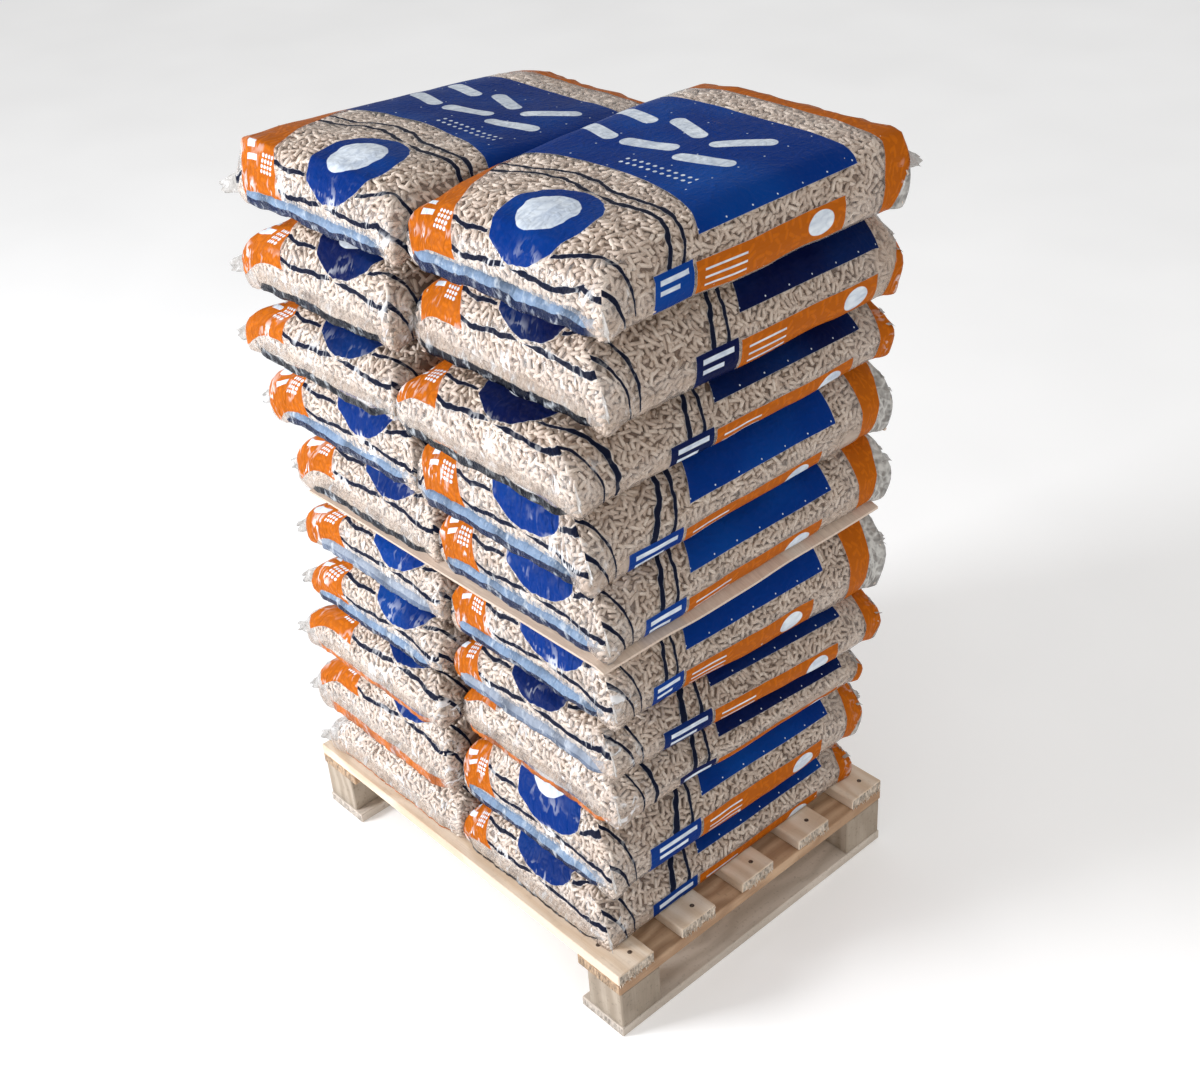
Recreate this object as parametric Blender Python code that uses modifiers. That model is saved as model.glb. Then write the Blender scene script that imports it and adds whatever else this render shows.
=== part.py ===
"""Pallet of sacks: two columns of ten filled sacks on a light wooden pallet, with a board sheet
between the fifth and sixth layer. Metres, +Z up, the pallet's front along X at -Y."""

import bmesh
import bpy
from mathutils import Matrix, Vector

GAP = 0.0003

# Pallet
DECK_LENGTH = 0.800
DECK_DEPTH = 0.620
DECK_BOARDS = 5
DECK_WIDTH = 0.075
DECK_THICK = 0.020
STRINGER_WIDTH = 0.098
STRINGER_THICK = 0.021
BLOCK_X, BLOCK_Y, BLOCK_Z = 0.078, 0.084, 0.074
RUNNER_WIDTH = 0.096
RUNNER_THICK = 0.018
EDGE_BEVEL = 0.0015
DECK_TOP = RUNNER_THICK + BLOCK_Z + STRINGER_THICK + DECK_THICK + 3 * GAP
# How far the rearmost sack reaches past the pallet. The whole is centred by half of it.
REAR_OVERHANG = 0.040

# Sacks
FIN_OUT = 0.010
FIN_THICK = 0.003
SHEET_AFTER = 5
SHEET_THICK = 0.004
SHEET_DROOP = 0.004
SHEET_RIM = 0.020
SHEET_X = (-0.345, 0.382)
SHEET_Y = (-0.272, 0.312)

# One row per sack, bottom first, in millimetres: height of its top above the deck at the front and
# at the rear, its left and right edge, and its front and rear end without the fins.
LEFT_COLUMN = (
    (104, 86, -374, -10, -292, 296),
    (246, 214, -376, -8, -298, 294),
    (352, 290, -372, -6, -300, 290),
    (452, 404, -362, -4, -288, 292),
    (549, 549, -358, -2, -272, 294),
    (682, 682, -360, -2, -266, 294),
    (808, 804, -372, -4, -284, 298),
    (908, 902, -380, -8, -300, 300),
    (1034, 1030, -380, -14, -282, 300),
    (1148, 1106, -400, -8, -264, 304),
)
RIGHT_COLUMN = (
    (104, 86, -10, 354, -286, 284),
    (246, 214, -8, 360, -274, 308),
    (352, 284, -6, 364, -258, 296),
    (436, 384, -4, 370, -264, 336),
    (549, 549, -2, 370, -256, 340),
    (676, 676, -2, 372, -262, 338),
    (806, 804, -4, 374, -284, 336),
    (906, 902, -8, 380, -298, 328),
    (1034, 1032, -14, 384, -246, 338),
    (1140, 1150, -8, 388, -242, 340),
)
SLOPE_SPAN = 0.300


def new_collection(name, hidden=False):
    made = bpy.data.collections.new(name)
    made.hide_render = hidden
    bpy.context.scene.collection.children.link(made)
    return made


def material(name, colour, roughness):
    made = bpy.data.materials.new(name)
    made.use_nodes = True
    shader = made.node_tree.nodes["Principled BSDF"]
    shader.inputs["Base Color"].default_value = (*colour, 1)
    shader.inputs["Roughness"].default_value = roughness
    made.diffuse_color = (*colour, 1)
    return made


def mesh_object(name, bm, look, home):
    mesh = bpy.data.meshes.new(name)
    bmesh.ops.recalc_face_normals(bm, faces=bm.faces)
    bm.to_mesh(mesh)
    bm.free()
    mesh.materials.append(look)
    made = bpy.data.objects.new(name, mesh)
    home.objects.link(made)
    return made


def board(name, low, high, look, home, bevel=EDGE_BEVEL):
    """A sawn piece between two corners, its edges broken by a small bevel."""
    low, high = Vector(low), Vector(high)
    bm = bmesh.new()
    bmesh.ops.create_cube(bm, size=1)
    bmesh.ops.scale(bm, vec=high - low, verts=bm.verts)
    bmesh.ops.translate(bm, vec=(low + high) / 2, verts=bm.verts)
    made = mesh_object(name, bm, look, home)
    edge = made.modifiers.new("edge", "BEVEL")
    edge.width = bevel
    edge.segments = 1
    return made


def pallet(home, pale, brown, grey):
    z = 0.0
    for side, x in (("left", -1), ("right", 1)):
        outer = x * DECK_LENGTH / 2
        runner = sorted((outer, outer - x * RUNNER_WIDTH))
        board(
            f"runner_{side}",
            (runner[0], -DECK_DEPTH / 2, z),
            (runner[1], DECK_DEPTH / 2, z + RUNNER_THICK),
            grey,
            home,
        )
    z += RUNNER_THICK + GAP
    for side, x in (("left", -1), ("right", 1)):
        for end, y in (("front", -1), ("rear", 1)):
            xs = sorted((x * (DECK_LENGTH / 2 - 0.001), x * (DECK_LENGTH / 2 - 0.001 - BLOCK_X)))
            ys = sorted((y * (DECK_DEPTH / 2 - 0.002), y * (DECK_DEPTH / 2 - 0.002 - BLOCK_Y)))
            board(
                f"block_{end}_{side}", (xs[0], ys[0], z), (xs[1], ys[1], z + BLOCK_Z), grey, home,
                bevel=0.002,
            )
    z += BLOCK_Z + GAP
    for side, x in (("left", -1), ("right", 1)):
        outer = x * DECK_LENGTH / 2
        xs = sorted((outer, outer - x * STRINGER_WIDTH))
        board(
            f"stringer_{side}",
            (xs[0], -DECK_DEPTH / 2, z),
            (xs[1], DECK_DEPTH / 2, z + STRINGER_THICK),
            brown,
            home,
        )
    z += STRINGER_THICK + GAP
    pitch = (DECK_DEPTH - DECK_WIDTH) / (DECK_BOARDS - 1)
    for k in range(DECK_BOARDS):
        y = -DECK_DEPTH / 2 + k * pitch
        board(
            f"deck_board_{k + 1}",
            (-DECK_LENGTH / 2, y, z),
            (DECK_LENGTH / 2, y + DECK_WIDTH, z + DECK_THICK),
            pale,
            home,
        )


# Sack cage. Rings along the length: distance in from the nearer end, then the share of the
# thickness at the underside and at the top, and how far the plan narrows on each side.
FRONT_RINGS = (
    (-FIN_OUT, None, None, 0.000),
    (0.000, 0.09, 0.42, 0.010),
    (0.014, -0.04, 0.94, 0.004),
    (0.130, -0.05, 1.10, 0.000),
)
REAR_RINGS = (
    (0.130, -0.05, 1.10, 0.000),
    (0.014, -0.04, 1.06, 0.004),
    (0.000, 0.14, 0.76, 0.010),
    (-FIN_OUT, None, None, 0.000),
)
# Points across the width: share of the half width, and how far the underside rises and the top
# falls there, as a share of the thickness.
ACROSS = ((-1.0, 0.22), (-0.74, -0.02), (0.74, -0.02), (1.0, 0.22))
SIDE_BULGE = 0.005


def plane(front, rear):
    """The height of a contact plane at y, from its heights at the front and rear of the load."""
    return lambda y: front + (rear - front) * (y + SLOPE_SPAN) / (2 * SLOPE_SPAN)


def cage_rings(front, rear, bottom, top):
    """(y, underside, top, narrowing, rounded) of each ring of the cage, front to rear."""
    rings = []
    for end, table, way in ((front, FRONT_RINGS, 1), (rear, REAR_RINGS, -1)):
        for inset, low, high, narrow in table:
            y = end + way * inset
            base, thick = bottom(y), top(y) - bottom(y)
            if low is None:
                root = FRONT_RINGS[1] if way == 1 else REAR_RINGS[2]
                mid = base + (root[1] + root[2]) / 2 * thick
                rings.append((y, mid - FIN_THICK / 2, mid + FIN_THICK / 2, narrow, 0))
            else:
                rings.append((y, base + low * thick, base + high * thick, narrow, thick))
    return rings


def cut_cage(bm, across, along):
    """A box cut by planes at the given places between -1 and 1 across and along it."""
    bmesh.ops.create_cube(bm, size=2)
    for axis, places in (((1, 0, 0), across), ((0, 1, 0), along)):
        for at in places[1:-1]:
            everything = bm.verts[:] + bm.edges[:] + bm.faces[:]
            co = [at * part for part in axis]
            bmesh.ops.bisect_plane(bm, geom=everything, plane_co=co, plane_no=axis)


def nearest(places, value):
    return min(range(len(places)), key=lambda i: abs(places[i] - value))


def pressed(made, left, right, bottom, top):
    """The subdivided shape made real, and flattened where it meets its neighbours."""
    graph = bpy.context.evaluated_depsgraph_get()
    made.data = bpy.data.meshes.new_from_object(made.evaluated_get(graph))
    made.modifiers.clear()
    for v in made.data.vertices:
        v.co.x = min(max(v.co.x, left), right)
        v.co.z = min(max(v.co.z, bottom(v.co.y)), top(v.co.y))


def sack(name, left, right, front, rear, bottom, top, look, home):
    """A filled sack: a box cut into a cage by planes, its points moved to the pillow's shape, and
    one level of subdivision."""
    rings = cage_rings(front, rear, bottom, top)
    middle, half = (left + right) / 2, (right - left) / 2
    across = [share for share, _ in ACROSS]
    along = [2 * k / (len(rings) - 1) - 1 for k in range(len(rings))]
    bm = bmesh.new()
    cut_cage(bm, across, along)
    for v in bm.verts:
        y, low, high, narrow, thick = rings[nearest(along, v.co.y)]
        share, lift = ACROSS[nearest(across, v.co.x)]
        lift *= min(thick, high - low)
        z = high - lift if v.co.z > 0 else low + lift
        reach = half - narrow + (SIDE_BULGE if thick else 0)
        v.co = Vector((middle + share * reach, y, z))
    made = mesh_object(name, bm, look, home)
    smooth = made.modifiers.new("smooth", "SUBSURF")
    smooth.levels = smooth.render_levels = 1
    bpy.context.view_layer.update()
    pressed(made, left, right, bottom, top)


def board_sheet(name, bottom, look, home):
    """The thin board between two layers, its front and side rims sagging past the sacks."""
    bm = bmesh.new()
    bmesh.ops.create_cube(bm, size=1)
    size = Vector((SHEET_X[1] - SHEET_X[0], SHEET_Y[1] - SHEET_Y[0], SHEET_THICK))
    centre = Vector((sum(SHEET_X) / 2, sum(SHEET_Y) / 2, SHEET_THICK / 2))
    bmesh.ops.scale(bm, vec=size, verts=bm.verts)
    bmesh.ops.translate(bm, vec=centre, verts=bm.verts)
    folds = (
        (0, SHEET_X[0] + SHEET_RIM), (0, SHEET_X[1] - SHEET_RIM), (1, SHEET_Y[0] + SHEET_RIM)
    )
    for axis, at in folds:
        co, no = Vector((0, 0, 0)), Vector((0, 0, 0))
        co[axis], no[axis] = at, 1
        everything = bm.verts[:] + bm.edges[:] + bm.faces[:]
        bmesh.ops.bisect_plane(bm, geom=everything, plane_co=co, plane_no=no)
    for v in bm.verts:
        rim = min(v.co.x - SHEET_X[0], SHEET_X[1] - v.co.x, v.co.y - SHEET_Y[0])
        v.co.z += bottom(v.co.y) - (SHEET_DROOP if rim < 1e-5 else 0)
    return mesh_object(name, bm, look, home)


def build():
    for old in list(bpy.data.objects):
        bpy.data.objects.remove(old, do_unlink=True)
    home = new_collection("pallet_of_sacks")
    pale = material("pale_wood", (0.75, 0.62, 0.46), 0.75)
    brown = material("brown_wood", (0.36, 0.22, 0.12), 0.75)
    grey = material("grey_wood", (0.36, 0.31, 0.26), 0.85)
    film = material("printed_film", (0.52, 0.40, 0.30), 0.30)
    paper = material("brown_board", (0.40, 0.28, 0.18), 0.85)
    pallet(home, pale, brown, grey)
    for side, column, squeeze in (("left", LEFT_COLUMN, (0, -GAP)), ("right", RIGHT_COLUMN, (GAP, 0))):
        bottom = plane(DECK_TOP + GAP, DECK_TOP + GAP)
        for number, row in enumerate(column, 1):
            high_f, high_r, left, right, front, rear = (v / 1000 for v in row)
            name = f"sack_{number:02d}_{side}"
            top = plane(DECK_TOP + high_f, DECK_TOP + high_r)
            sack(name, left + squeeze[0], right + squeeze[1], front, rear, bottom, top, film, home)
            lift = 2 * GAP + SHEET_THICK if number == SHEET_AFTER else GAP
            bottom = plane(DECK_TOP + high_f + lift, DECK_TOP + high_r + lift)
    level = DECK_TOP + LEFT_COLUMN[SHEET_AFTER - 1][0] / 1000 + GAP
    board_sheet("board_sheet", plane(level, level), paper, home)
    for made in home.objects:
        made.data.transform(Matrix.Translation((0, -REAR_OVERHANG / 2, 0)))


build()
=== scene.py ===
import math
from itertools import product

import bpy
import numpy as np
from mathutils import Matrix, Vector
from mathutils.bvhtree import BVHTree


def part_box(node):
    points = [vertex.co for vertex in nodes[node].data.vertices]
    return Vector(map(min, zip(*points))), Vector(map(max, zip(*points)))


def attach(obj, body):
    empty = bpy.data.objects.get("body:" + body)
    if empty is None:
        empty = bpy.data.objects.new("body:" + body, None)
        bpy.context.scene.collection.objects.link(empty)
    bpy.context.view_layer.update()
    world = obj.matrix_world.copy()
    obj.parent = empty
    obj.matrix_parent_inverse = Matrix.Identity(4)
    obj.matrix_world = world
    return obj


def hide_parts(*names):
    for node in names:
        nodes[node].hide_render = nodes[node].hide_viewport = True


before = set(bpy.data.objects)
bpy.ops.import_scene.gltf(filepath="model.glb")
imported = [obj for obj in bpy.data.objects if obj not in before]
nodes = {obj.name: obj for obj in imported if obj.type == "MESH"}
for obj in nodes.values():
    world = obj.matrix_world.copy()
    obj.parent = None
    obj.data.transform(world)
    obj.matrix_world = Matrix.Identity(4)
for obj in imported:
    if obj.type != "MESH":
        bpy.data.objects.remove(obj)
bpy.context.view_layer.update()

# The camera, solved from the pallet's corners in the photograph.
CAMERA_PLACE = (1.71730, -1.41245, 2.01891)
CAMERA_TURN = (57.08236, 3.61860, 47.53756)
CAMERA_LENS = 48.527

# A sack's film, in metres: S runs from the front seam over the top to the rear seam, and U from
# the middle of the top down each side.
SEAM_SHARE = 0.27
FIN_OUT = 0.010
CORNER_REACH = 0.055
SIDE_LEAN = 2.0
PANEL_EDGE = 0.215
INK_EDGE = 0.0008

PELLET_RADIUS = 0.0031
PELLET_LENGTHS = (0.008, 0.020)
PELLET_PITCH = 0.0070
PELLET_SUNK = 0.0020
CORE_DEPTH = 0.0054

FILM_CELLS = (28, 52, 12)
CROWDING = (0.05, 0.07, 0.0)
TOP_LAYER = 10

# Per sack, bottom first, in millimetres: how far the print sits towards the rear on the front end
# and on the sides, and how far from the middle of the top the panel's lower edge lies.
PRINT = {
    "right": (
        (5, 35, 200), (5, 50, 210), (40, 45, 205), (0, 30, 195), (0, -20, 225),
        (0, 5, 220), (0, 30, 235), (35, 90, 210), (30, 95, 225), (5, -5, 200),
    ),
    "left": (
        (70, 30, 200), (40, 35, 210), (30, 45, 200), (0, 30, 205), (0, 10, 215),
        (15, 30, 215), (0, 20, 220), (15, 40, 220), (20, 40, 220), (0, 0, 210),
    ),
}

# How much darker than the others each sack's blue is made, from 0 to 1: painted shade, for the sacks that lie
# more in shade.
BLUE_SHADE = {
    "right": (0.35, 0.10, 0.90, 0.75, 0.0, 0.0, 0.0, 1.0, 1.0, 0.0),
    "left": (0.3, 0.3, 0.5, 0.3, 0.0, 0.4, 0.2, 0.9, 0.9, 0.15),
}

# How far the film stands off the pellets at a sack's outer front corner.
EMPTY_CORNER = {"left": 0.012, "right": 0.003}

# How far the overhanging rims sag, and how far in from the edge that starts. The lower half of a
# sack is fuller than its solid, by this share of the way to a box's corner, and its upper outer rim
# leans in under the sack above.
SAG = 0.013
SAG_REACH = 0.070
FULL_LOW, FULL_HIGH, FULL_CORNER = 0.34, 0.05, 0.62
LEAN_IN = 0.036
END_PLAY = 0.002
SMOOTHING = 6


def srgb(*levels):
    """A colour given as it shows on screen, from 0 to 255, in the linear form that shaders take."""
    return tuple(
        (v / 255 / 12.92) if v <= 10 else ((v / 255 + 0.055) / 1.055) ** 2.4 for v in levels
    )


NAVY = srgb(2, 46, 120)
# The blue darkened as painted shade.
SHADED_NAVY = srgb(5, 16, 60)
LIGHT_NAVY = srgb(10, 80, 164)
LINE_NAVY = srgb(14, 21, 42)
ORANGE = srgb(186, 98, 18)
# The orange darkened as painted shade, for the gaps between the rods under it.
SHADED_ORANGE = srgb(136, 66, 14)
WHITE = srgb(224, 232, 240)
PALE_BLUE = srgb(150, 182, 216)


# Numbers in a node tree, which add and multiply as Python's do. The same formulas also take arrays.
class Num:
    def __init__(self, tree, socket):
        self.tree, self.socket = tree, socket


def calc(kind, on_arrays, *values):
    tree = next((v.tree for v in values if isinstance(v, Num)), None)
    if tree is None:
        return on_arrays(*values)
    node = tree.nodes.new("ShaderNodeMath")
    node.operation = kind
    for slot, value in zip(node.inputs, values):
        if isinstance(value, Num):
            tree.links.new(value.socket, slot)
        else:
            slot.default_value = value
    return Num(tree, node.outputs[0])


def formula(kind, on_arrays):
    """A formula that takes numbers of a node tree as well as arrays."""
    return lambda *values: calc(kind, on_arrays, *values)


size_of = formula("ABSOLUTE", np.abs)
least = formula("MINIMUM", np.minimum)
most = formula("MAXIMUM", np.maximum)
root = formula("SQRT", np.sqrt)
sine = formula("SINE", np.sin)
cosine = formula("COSINE", np.cos)
whole = formula("FLOOR", np.floor)
greater = formula("GREATER_THAN", np.greater)
Num.__add__ = Num.__radd__ = formula("ADD", np.add)
Num.__sub__ = formula("SUBTRACT", np.subtract)
Num.__rsub__ = lambda self, other: calc("SUBTRACT", np.subtract, other, self)
Num.__mul__ = Num.__rmul__ = formula("MULTIPLY", np.multiply)
Num.__truediv__ = formula("DIVIDE", np.divide)
Num.__neg__ = lambda self: self * -1.0


def held(v):
    """Kept from 0 to 1."""
    return least(most(v, 0.0), 1.0)


def filled(distance):
    """1 inside a shape and 0 outside it, from the signed distance to its edge."""
    return held(distance * (-1 / INK_EDGE) + 0.5)


def box_at(s, u, s0, s1, u0, u1):
    ds = size_of(s - (s0 + s1) / 2) - (s1 - s0) / 2
    du = size_of(u - (u0 + u1) / 2) - (u1 - u0) / 2
    return most(ds, du)


def disc_at(s, u, s0, u0, rs, ru):
    """Signed distance to an ellipse, near enough for its edge."""
    a, b = (s - s0) / rs, (u - u0) / ru
    return (root(a * a + b * b) - 1.0) * min(rs, ru)


def to_stroke(x, y, lean, half):
    """Distance to a straight stroke about the origin, of half this length and turned by lean."""
    along, up = cosine(lean), sine(lean)
    p, q = x * along + y * up, y * along - x * up
    over = most(size_of(p) - half, 0.0)
    return root(over * over + q * q)


# White strokes on the panel, one to a cell: the cells' size, their first corner and their number.
STROKE_CELL = (0.076, 0.104)
STROKE_FROM = (0.322, -0.178)
STROKE_COUNT = (2, 3)
STROKE_HALF, STROKE_RADIUS = 0.034, 0.0125


def strokes(s, u, angle_of):
    """The distance to the nearest stroke with round ends, and a number from 0 to 1 for each."""
    (cell_s, cell_u), (from_s, from_u) = STROKE_CELL, STROKE_FROM
    a, b = (s - from_s) / cell_s, (u - from_u) / cell_u
    i, j = whole(a), whole(b)
    x, y = (a - i - 0.5) * cell_s, (b - j - 0.5) * cell_u
    turn = angle_of(i, j)
    lean = (turn - 0.5) * 2.2 + 1.57
    end_s, end_u = from_s + STROKE_COUNT[0] * cell_s, from_u + STROKE_COUNT[1] * cell_u
    inside = box_at(s, u, from_s, end_s, from_u, end_u)
    return most(to_stroke(x, y, lean, STROKE_HALF) - STROKE_RADIUS, inside), turn


def pips(s, u, pitch_s, pitch_u, at_s, at_u, radius):
    """Rows of small dots: signed distance to the nearest."""
    a, b = (s - at_s) / pitch_s, (u - at_u) / pitch_u
    x, y = (a - whole(a) - 0.5) * pitch_s, (b - whole(b) - 0.5) * pitch_u
    return root(x * x + y * y) - radius


# Wavy lines across a sack's front: how far from the seam, sway, phase, half thickness and rise.
WAVES = (
    (0.014, 0.006, 0.4, 0.0040, 0.10), (0.043, 0.007, 1.3, 0.0036, 0.20),
    (0.196, 0.008, 2.6, 0.0042, -0.14), (0.222, 0.007, 2.2, 0.0036, -0.16),
)

# Boxes of the print: S from and to, then U from and to, which is the same on both sides of a sack
# for the band, the label and the bars on them.
SIDE_BAND = (0.211, 0.494, 0.249, 0.300)
SIDE_BARS = (0.226, 0.300, 0.262, 0.290)
SIDE_BAR_PITCH, SIDE_BAR_HALF = 0.012, 0.0016
LABEL = (0.130, 0.206, 0.243, 0.302)
LABEL_BARS = ((0.140, 0.196, 0.252, 0.260), (0.140, 0.178, 0.268, 0.275))
PATCH_BARS = ((0.046, 0.054, -0.168, -0.136), (0.062, 0.070, -0.168, -0.144))
PATCH_DOTS = (0.030, 0.060, -0.124, -0.094)
PANEL_DOTS = (0.283, 0.309, -0.012, 0.124)


def artwork(s, u, wobble, angle_of):
    """Masks of the film's print: (colour, mask) from the lowest to the uppermost ink."""
    out = size_of(u)
    front_edge = 0.268 - u * u * 1.0
    panel = most(most(front_edge - s, s - 0.523), out - PANEL_EDGE)
    rear = most(0.580 - s, s - 0.654)
    side_band = box_at(s, out, *SIDE_BAND)
    label = box_at(s, out, *LABEL)
    oval = disc_at(s, out, 0.446, 0.273, 0.025, 0.018)
    wedge = most(most(-s, s - 0.330), most(-0.196 - u, u + 0.068 + s * 0.44))
    disc = disc_at(s + wobble, u, 0.104, 0.046, 0.082, 0.074)
    core = disc_at(s, u + wobble, 0.113, 0.040, 0.045, 0.042)
    lines = None
    spread = root((u - 0.02) * (u - 0.02) + 0.0016) - 0.04
    for at, sway, phase, thick, rise in WAVES:
        path = at + sine(u * 34.0 + phase) * sway + spread * rise + wobble
        line = size_of(s - path) - thick
        lines = line if lines is None else least(lines, line)
    lines = most(lines, out - 0.285)
    lines = most(lines, -(label + 0.001))
    lines = most(lines, -(disc - 0.004))
    stroke, turn = strokes(s, u, angle_of)
    panel_dots = most(pips(s, u, 0.013, 0.013, 0.0, 0.0, 0.0030), box_at(s, u, *PANEL_DOTS))
    patch_dots = most(
        pips(s, u, 0.0074, 0.0074, 0.0302, -0.1238, 0.0027), box_at(s, u, *PATCH_DOTS)
    )
    patch_bars = least(*(box_at(s, u, *bar) for bar in PATCH_BARS))
    nearest_bar = whole(u / SIDE_BAR_PITCH + 0.5) * SIDE_BAR_PITCH
    side_bars = most(size_of(u - nearest_bar) - SIDE_BAR_HALF, box_at(s, out, *SIDE_BARS))
    label_bars = least(*(box_at(s, out, *bar) for bar in LABEL_BARS))
    holes = most(pips(s + wobble * 0.5, u, 0.048, 0.074, 0.010, 0.024, 0.0012), panel)
    white = core
    for mark in (oval, patch_bars, patch_dots, side_bars, label_bars, panel_dots, holes):
        white = least(white, mark)
    return [
        (LINE_NAVY, filled(lines)),
        (NAVY, filled(least(least(panel, disc), label))),
        (ORANGE, filled(least(least(rear, side_band), wedge))),
        (WHITE, filled(white)),
        (WHITE, filled(stroke)),
        (ORANGE, filled(most(stroke, 0.74 - turn))),
    ]


# Node trees
class Tree:
    """A material's nodes, with the calls that this script needs to make them."""

    def __init__(self, name):
        self.material = bpy.data.materials.new(name)
        self.material.use_nodes = True
        self.nodes = self.material.node_tree.nodes
        self.links = self.material.node_tree.links
        self.shader = self.nodes["Principled BSDF"]

    def add(self, kind, inputs=None, **settings):
        node = self.nodes.new(kind)
        for key, value in settings.items():
            setattr(node, key, value)
        for key, value in (inputs or {}).items():
            self.put(node.inputs[key], value)
        return node

    def put(self, slot, value):
        if isinstance(value, Num):
            value = value.socket
        if isinstance(value, bpy.types.NodeSocket):
            self.links.new(value, slot)
        elif slot.type == "RGBA" and len(value) == 3:
            slot.default_value = (*value, 1)
        else:
            slot.default_value = value

    def num(self, socket):
        return Num(self.material.node_tree, socket)

    def split(self, vector):
        parts = self.add("ShaderNodeSeparateXYZ", {0: vector})
        return [self.num(parts.outputs[k]) for k in range(3)]

    def uv(self, name):
        return self.split(self.add("ShaderNodeUVMap", uv_map=name).outputs[0])[:2]

    def value(self, name):
        """A number that is stored at the mesh's points."""
        return self.num(self.add("ShaderNodeAttribute", attribute_name=name).outputs["Fac"])

    def place(self):
        return self.add("ShaderNodeTexCoord").outputs["Object"]

    def xyz(self, x=0.0, y=0.0, z=0.0):
        return self.add("ShaderNodeCombineXYZ", {0: x, 1: y, 2: z}).outputs[0]

    def scaled(self, vector, by):
        return self.add("ShaderNodeVectorMath", {0: vector, 1: by}, operation="MULTIPLY").outputs[0]

    def noise(self, vector, scale, detail=2.0, rough=0.5):
        inputs = {"Vector": vector, "Scale": scale, "Detail": detail, "Roughness": rough}
        made = self.add("ShaderNodeTexNoise", inputs)
        return self.num(made.outputs["Fac"])

    def ramp(self, value, *stops):
        made = self.add("ShaderNodeValToRGB", {"Fac": value})
        points = made.color_ramp.elements
        while len(points) < len(stops):
            points.new(0.5)
        for point, (at, colour) in zip(points, stops):
            point.position, point.color = at, (*colour, 1)
        return made.outputs[0]

    def mix(self, share, a, b):
        made = self.add("ShaderNodeMix", data_type="RGBA")
        for slot, value in ((0, share), (6, a), (7, b)):
            self.put(made.inputs[slot], value)
        return made.outputs[2]

    def bump(self, height, strength, distance, under=None):
        inputs = {"Height": height, "Strength": strength, "Distance": distance}
        if under is not None:
            inputs["Normal"] = under
        return self.add("ShaderNodeBump", inputs).outputs[0]

    def set(self, **inputs):
        for key, value in inputs.items():
            self.put(self.shader.inputs[key.replace("_", " ")], value)
        return self.material


def rod_relief(tree, s, u, layers):
    """Height of loose rods seen from above, from 0 to 1, and a tone for each rod."""
    height = tone = None
    for k in range(layers):
        at_s, at_u = s + 0.37 * k, u + 0.11 * k
        cells = tree.add(
            "ShaderNodeTexVoronoi",
            {"Vector": tree.xyz(at_s, at_u), "Scale": 68.0, "Randomness": 1.0},
            voronoi_dimensions="2D",
        )
        near_s, near_u, _ = tree.split(cells.outputs["Position"])
        shade = tree.add("ShaderNodeSeparateColor", {0: cells.outputs["Color"]})
        lean = tree.num(shade.outputs[0]) * math.pi
        across = to_stroke(at_s - near_s, at_u - near_u, lean, 0.0058) / PELLET_RADIUS
        level = root(most(1.0 - across * across, 0.0)) * (1 - 0.22 * k)
        here = tree.num(shade.outputs[1])
        if height is None:
            height, tone = level, here
        else:
            tone = tone + (here - tone) * greater(level, height)
            height = most(height, level)
    return height, tone


def clear_film(tree, normal, rough):
    """Clear film: what lies under it shows, with the gloss of its surface on top."""
    gleam = tree.num(tree.add("ShaderNodeFresnel", {"IOR": 1.36, "Normal": normal}).outputs[0]) * 0.75
    through = tree.add("ShaderNodeBsdfTransparent", {"Color": (0.99, 0.99, 0.99)})
    gloss = tree.add(
        "ShaderNodeBsdfGlossy", {"Color": (1.0, 1.0, 1.0), "Roughness": rough, "Normal": normal}
    )
    both = tree.add("ShaderNodeMixShader", {0: gleam, 1: through.outputs[0], 2: gloss.outputs[0]})
    return both.outputs[0]


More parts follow.
